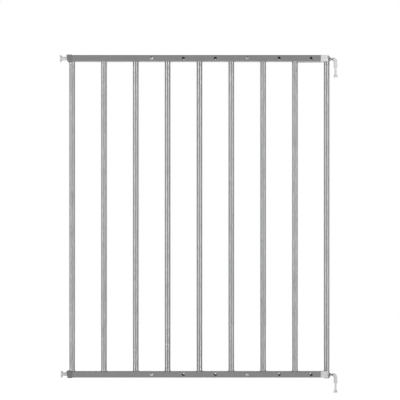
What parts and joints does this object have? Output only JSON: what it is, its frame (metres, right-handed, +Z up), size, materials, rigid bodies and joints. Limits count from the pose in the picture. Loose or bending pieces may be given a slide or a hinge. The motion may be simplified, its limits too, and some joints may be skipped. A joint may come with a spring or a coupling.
{
  "type": "pet gate",
  "caption": "Extending metal pet gate of two sliding bar panels, with hooked lift-off hinge fittings on one side and adjustable wall pegs on the other.",
  "frame": {"origin": "centre of the lower hinge pin's underside, on the hinge axis", "axes": "+Z up along the hinge axis, -X along the gate from the hinge to the wall pegs, -Y the front panel's side, +Y the rear panel's side"},
  "size_m": [0.6222, 0.0294, 0.7572],
  "materials": {
    "powder_coated_steel": "satin silver-grey powder coat",
    "grey_plastic": "moulded, fine matt texture",
    "white_plastic": "moulded, satin",
    "zinc_plated_steel": "bright zinc plate",
    "brass_inserts": "turned"
  },
  "bodies": {
    "hinge_pins": {"upper_hinge_pin": "white_plastic", "lower_hinge_pin": "white_plastic"},
    "rear_section": {"rear_top_rail": "powder_coated_steel", "rear_bottom_rail": "powder_coated_steel", "rear_bar_1": "powder_coated_steel", "rear_bar_2": "powder_coated_steel", "rear_bar_3": "powder_coated_steel", "rear_bar_4": "powder_coated_steel", "rear_bar_5": "powder_coated_steel", "rear_bar_6": "powder_coated_steel", "rear_bar_7": "powder_coated_steel", "hinge_post": "powder_coated_steel", "post_top_plug": "grey_plastic", "post_bottom_plug": "grey_plastic", "upper_post_insert": "zinc_plated_steel", "lower_post_insert": "zinc_plated_steel", "upper_hinge_rod": "zinc_plated_steel", "lower_hinge_rod": "zinc_plated_steel", "upper_lock_nut": "zinc_plated_steel", "lower_lock_nut": "zinc_plated_steel", "upper_hinge_elbow": "white_plastic", "lower_hinge_elbow": "white_plastic"},
    "front_section": {"front_top_rail": "powder_coated_steel", "front_bottom_rail": "powder_coated_steel", "front_bar_1": "powder_coated_steel", "front_bar_2": "powder_coated_steel", "front_bar_3": "powder_coated_steel", "front_bar_4": "powder_coated_steel", "front_bar_5": "powder_coated_steel", "front_bar_6": "powder_coated_steel", "front_bar_7": "powder_coated_steel", "front_bar_8": "powder_coated_steel", "upper_end_cap": "grey_plastic", "lower_end_cap": "grey_plastic", "upper_peg_insert": "brass_inserts", "lower_peg_insert": "brass_inserts", "upper_slide_guide": "white_plastic", "lower_slide_guide": "white_plastic", "clamp_bolts": "zinc_plated_steel", "slide_nuts": "zinc_plated_steel"},
    "upper_peg": {"upper_wall_peg": "white_plastic", "upper_peg_screw": "zinc_plated_steel"},
    "lower_peg": {"lower_wall_peg": "white_plastic", "lower_peg_screw": "zinc_plated_steel"}
  },
  "joints": [
    {"name": "gate_swing", "type": "hinge", "parent": "hinge_pins", "child": "rear_section", "pos_m": [0, 0, 0], "axis": [0, 0, 1], "range_deg": [-90, 90]},
    {"name": "extension", "type": "slide", "parent": "rear_section", "child": "front_section", "axis": [-1, 0, 0], "range_m": [0, 0.427]},
    {"name": "upper_peg_adjust", "type": "slide", "parent": "front_section", "child": "upper_peg", "axis": [-1, 0, 0], "range_m": [-0.008, 0.01]},
    {"name": "lower_peg_adjust", "type": "slide", "parent": "front_section", "child": "lower_peg", "axis": [-1, 0, 0], "range_m": [-0.006, 0.012]}
  ]
}
